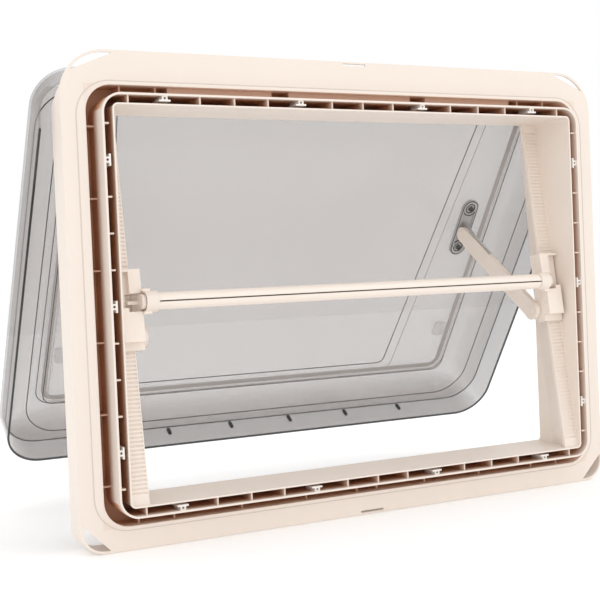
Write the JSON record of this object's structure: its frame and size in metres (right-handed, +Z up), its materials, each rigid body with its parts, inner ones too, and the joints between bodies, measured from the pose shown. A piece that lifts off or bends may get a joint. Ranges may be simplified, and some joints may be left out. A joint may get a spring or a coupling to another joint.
{
  "type": "push-out window",
  "caption": "Flanged frame with a double-skin see-through sash hinged at the top, held open by two arms on slides joined by a push bar that lock on toothed rails",
  "frame": {"origin": "centre of the wall cut-out, on the flange's sealing plane", "axes": "X runs along the hinge, +Y points outdoors, +Z points up towards the hinge"},
  "size_m": [0.814, 0.4005, 0.59],
  "materials": {
    "frame_plastic": "fine grained cream moulding",
    "clip_plastic": "off-white moulding",
    "seal_rubber": "soft black, dull",
    "hinge_aluminium": "plain extruded",
    "pin_steel": "plain turned",
    "outer_acrylic": "smoke tinted, polished, see-through",
    "inner_acrylic": "light smoke tint, polished, see-through",
    "plug_plastic": "dark plug",
    "slide_plastic": "smooth cream moulding",
    "bracket_plastic": "grey, glossy",
    "arm_plastic": "smooth cream moulding",
    "bar_coated": "cream coating, satin",
    "collar_plastic": "smooth cream moulding",
    "catch_plastic": "cream moulding"
  },
  "bodies": {
    "frame": {"outer_frame": "frame_plastic", "inner_liner": "frame_plastic", "screw_clips": "clip_plastic", "weather_seal": "seal_rubber", "rail_left": "frame_plastic", "rail_right": "frame_plastic", "hinge_leaf_frame": "hinge_aluminium", "hinge_pin": "pin_steel"},
    "sash": {"outer_dome": "outer_acrylic", "inner_pane": "inner_acrylic", "hinge_leaf_sash": "hinge_aluminium", "vent_plugs": "plug_plastic", "bracket_left": "bracket_plastic", "bracket_right": "bracket_plastic", "bracket_screws": "pin_steel", "corner_pads": "inner_acrylic", "sash_pivot_pin_left": "arm_plastic", "sash_pivot_pin_right": "arm_plastic"},
    "carriage": {"slide_left": "slide_plastic", "slide_right": "slide_plastic", "guide_left": "slide_plastic", "guide_right": "slide_plastic"},
    "push_bar": {"bar_tube": "bar_coated", "bar_collar_left": "collar_plastic", "bar_collar_right": "collar_plastic", "bar_end_left": "collar_plastic", "bar_end_right": "collar_plastic", "catch_left": "catch_plastic", "catch_right": "catch_plastic"},
    "arm_left": {"arm_left": "arm_plastic", "arm_rod_left": "pin_steel", "slide_pivot_pin_left": "arm_plastic"},
    "arm_right": {"arm_right": "arm_plastic", "arm_rod_right": "pin_steel", "slide_pivot_pin_right": "arm_plastic"}
  },
  "joints": [
    {"name": "sash_hinge", "type": "hinge", "parent": "frame", "child": "sash", "pos_m": [0, 0.04, 0.269], "axis": [1, 0, 0], "range_deg": [-33.5, 11.5]},
    {"name": "carriage_slide", "type": "slide", "parent": "frame", "child": "carriage", "axis": [0, 0.1503, 0.9886], "range_m": [-0.1345, 0.0465]},
    {"name": "arm_right_pivot", "type": "hinge", "parent": "sash", "child": "arm_right", "pos_m": [0.2957, 0.19358, 0.08045], "axis": [1, 0, 0], "range_deg": [-25, 72.2]},
    {"name": "arm_left_pivot", "type": "hinge", "parent": "sash", "child": "arm_left", "pos_m": [-0.2957, 0.19358, 0.08045], "axis": [1, 0, 0], "range_deg": [-25, 72.2]},
    {"name": "bar_twist", "type": "hinge", "parent": "carriage", "child": "push_bar", "pos_m": [0, 0, 0.004], "axis": [1, 0, 0], "range_deg": [-20, 20], "stiffness_Nm_per_rad": 0.5}
  ],
  "couplings": [
    {"joint": "carriage_slide", "follows": "sash_hinge", "m_per_rad": 0.22918},
    {"joint": "arm_right_pivot", "follows": "sash_hinge", "ratio": -2.1466},
    {"joint": "arm_left_pivot", "follows": "sash_hinge", "ratio": -2.1466}
  ]
}
